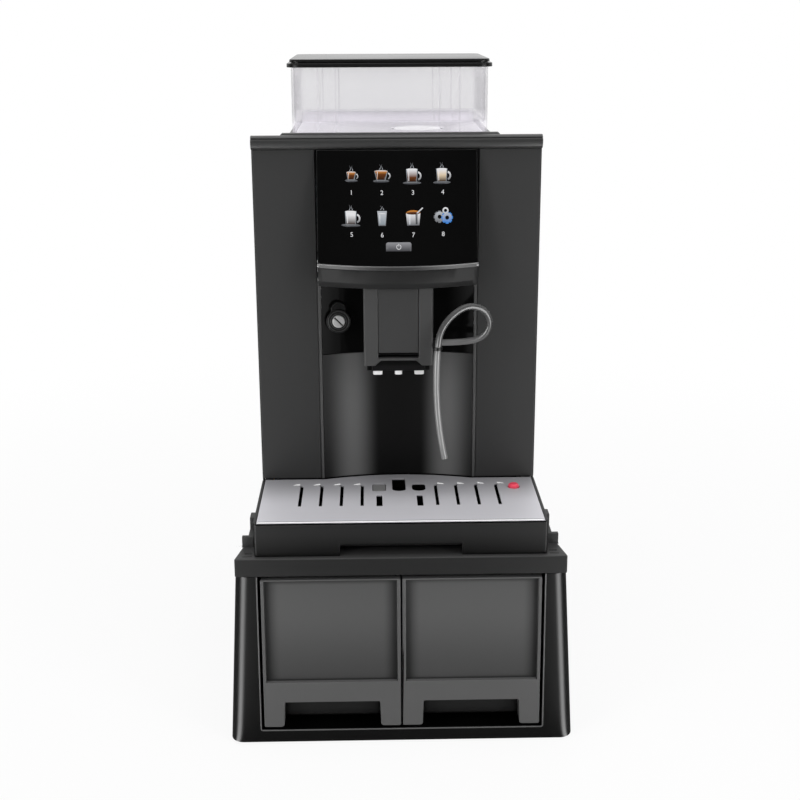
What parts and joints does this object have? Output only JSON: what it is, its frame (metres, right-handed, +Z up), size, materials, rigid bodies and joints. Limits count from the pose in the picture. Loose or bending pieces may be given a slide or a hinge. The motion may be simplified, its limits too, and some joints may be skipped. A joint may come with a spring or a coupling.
{
  "type": "automatic espresso machine",
  "caption": "Bean-to-cup espresso machine with a bowed touch screen, a sliding spout, a slotted drip tray, a bean hopper and a milk hose, on a cabinet with drawers.",
  "frame": {"origin": "on the floor, under the middle of the cabinet", "axes": "+Z up, the front with the screen faces -Y, +X to the right as seen from the front"},
  "size_m": [0.363, 0.468, 0.6962],
  "materials": {
    "cabinet_plastic": "fine-grained matt charcoal plastic",
    "drawer_plastic": "satin dark grey plastic",
    "bin_plastic": "matt black plastic",
    "rubber_black": "matt black rubber",
    "sheet_steel": "galvanised sheet",
    "panel_grey": "satin anthracite paint",
    "cap_plastic": "semi-gloss charcoal plastic",
    "screw_steel": "plated steel",
    "head_plastic": "satin anthracite plastic",
    "trim_silver": "satin silver plastic",
    "screen_black": "gloss black glass",
    "display_dark": "black display module",
    "liner_gloss": "piano black plastic",
    "splash_satin": "satin black plastic",
    "strip_grey": "satin light grey plastic",
    "lock_black": "matt black plastic",
    "lock_silver": "nickel plated",
    "rod_steel": "ground steel rod",
    "spout_grey": "satin anthracite plastic",
    "spout_cover_grey": "satin anthracite plastic",
    "nozzle_black": "matt black plastic",
    "nozzle_white": "off-white plastic",
    "holder_black": "black plastic",
    "hose_silicone": "translucent grey silicone",
    "tray_black": "semi-gloss black plastic",
    "plate_steel": "brushed stainless steel",
    "float_red": "red plastic",
    "hopper_clear": "clear smoky plastic",
    "lid_black": "semi-gloss black plastic",
    "grinder_alloy": "cast alloy",
    "burr_steel": "hardened steel",
    "dial_white": "white plastic",
    "duct_black": "black plastic",
    "frame_alloy": "machined alloy",
    "cylinder_plastic": "glass-filled plastic",
    "piston_plastic": "glass-filled plastic",
    "spindle_steel": "rolled thread steel",
    "motor_black": "black gear motor",
    "chute_steel": "stainless sheet",
    "tank_clear": "clear plastic",
    "boiler_steel": "stainless steel",
    "pump_brass": "brass body",
    "pipe_white": "white fluoropolymer tube",
    "board_green": "green circuit board",
    "supply_case": "folded alloy case",
    "fan_black": "black plastic",
    "inlet_black": "black plastic",
    "rocker_red": "red plastic"
  },
  "bodies": {
    "machine": {"base_shell": "cabinet_plastic", "base_feet": "rubber_black", "base_deck": "cabinet_plastic", "machine_feet": "rubber_black", "chassis": "sheet_steel", "equipment_shelf": "sheet_steel", "left_side_cover": "panel_grey", "right_side_cover": "panel_grey", "rear_cover": "panel_grey", "left_front_panel": "panel_grey", "right_front_panel": "panel_grey", "top_cover": "cap_plastic", "case_screws": "screw_steel", "head_housing": "head_plastic", "head_trim": "trim_silver", "screen_glass": "screen_black", "display_panel": "display_dark", "recess_liner": "liner_gloss", "splash_back": "splash_satin", "edge_strips": "strip_grey", "lock_boss": "lock_black", "spout_guide": "rod_steel", "bean_hopper": "hopper_clear", "grinder_case": "grinder_alloy", "upper_burr": "burr_steel", "powder_duct": "duct_black", "brew_frame": "frame_alloy", "brew_cylinder": "cylinder_plastic", "brew_motor": "motor_black", "grounds_chute": "chute_steel", "boiler": "boiler_steel", "water_pump": "pump_brass", "water_pipes": "pipe_white", "control_board": "board_green", "power_supply": "supply_case", "fan_frame": "fan_black", "power_inlet": "inlet_black"},
    "left_drawer": {"left_drawer_face": "drawer_plastic", "left_drawer_bin": "bin_plastic"},
    "right_drawer": {"right_drawer_face": "drawer_plastic", "right_drawer_bin": "bin_plastic"},
    "keylock": {"lock_disc": "lock_silver"},
    "spout": {"spout_body": "spout_grey", "spout_cover": "spout_cover_grey", "nozzle_block": "nozzle_black", "outlet_nozzles": "nozzle_white", "hose_holder": "holder_black", "milk_hose": "hose_silicone"},
    "tray": {"drip_tray": "tray_black"},
    "plate": {"drip_plate": "plate_steel"},
    "float": {"tray_float": "float_red"},
    "hopper_lid": {"hopper_lid": "lid_black"},
    "grind_dial": {"grind_dial": "dial_white"},
    "grinder_rotor": {"grinder_rotor": "burr_steel"},
    "brew_piston": {"brew_piston": "piston_plastic"},
    "drive_spindle": {"drive_spindle": "spindle_steel"},
    "fan_rotor": {"fan_rotor": "fan_black"},
    "tank": {"water_tank": "tank_clear"},
    "tank_lid": {"tank_lid": "cap_plastic"},
    "rocker": {"switch_rocker": "rocker_red"}
  },
  "joints": [
    {"name": "left_drawer_slide", "type": "slide", "parent": "machine", "child": "left_drawer", "axis": [0, -1, 0], "range_m": [0, 0.3]},
    {"name": "right_drawer_slide", "type": "slide", "parent": "machine", "child": "right_drawer", "axis": [0, -1, 0], "range_m": [0, 0.3]},
    {"name": "keylock_turn", "type": "hinge", "parent": "machine", "child": "keylock", "pos_m": [-0.0633, -0.0905, 0.426], "axis": [0, 1, 0], "range_deg": [0, 90]},
    {"name": "spout_height", "type": "slide", "parent": "machine", "child": "spout", "axis": [0, 0, 1], "range_m": [-0.035, 0]},
    {"name": "tray_slide", "type": "slide", "parent": "machine", "child": "tray", "axis": [0, -1, 0], "range_m": [0, 0.15]},
    {"name": "plate_lift", "type": "slide", "parent": "tray", "child": "plate", "axis": [0, 0, 1], "range_m": [0, 0.028]},
    {"name": "float_rise", "type": "slide", "parent": "tray", "child": "float", "axis": [0, 0, 1], "range_m": [0, 0.007]},
    {"name": "hopper_lid_lift", "type": "slide", "parent": "machine", "child": "hopper_lid", "axis": [0, 0, 1], "range_m": [0, 0.05]},
    {"name": "grind_dial_turn", "type": "hinge", "parent": "machine", "child": "grind_dial", "pos_m": [0.026, 0.0495, 0.61], "axis": [0, 0, 1], "range_deg": [-120, 120]},
    {"name": "grinder_spin", "type": "hinge", "parent": "machine", "child": "grinder_rotor", "pos_m": [0.026, 0.0495, 0.577], "axis": [0, 0, 1], "continuous": true},
    {"name": "spindle_turn", "type": "hinge", "parent": "machine", "child": "drive_spindle", "pos_m": [0.026, -0.0125, 0.32], "axis": [0, 0, 1], "range_deg": [0, 1260]},
    {"name": "piston_rise", "type": "slide", "parent": "machine", "child": "brew_piston", "axis": [0, 0, 1], "range_m": [0, 0.0351]},
    {"name": "fan_spin", "type": "hinge", "parent": "machine", "child": "fan_rotor", "pos_m": [-0.06, 0.215, 0.254], "axis": [0, 1, 0], "continuous": true},
    {"name": "tank_lift", "type": "slide", "parent": "machine", "child": "tank", "axis": [0, 0, 1], "range_m": [0, 0.27]},
    {"name": "tank_lid_lift", "type": "slide", "parent": "tank", "child": "tank_lid", "axis": [0, 0, 1], "range_m": [0, 0.04]},
    {"name": "rocker_tilt", "type": "hinge", "parent": "machine", "child": "rocker", "pos_m": [0.082, 0.2215, 0.242], "axis": [1, 0, 0], "range_deg": [0, 12]}
  ],
  "couplings": [
    {"joint": "piston_rise", "follows": "spindle_turn", "m_per_rad": 0.0015915}
  ]
}
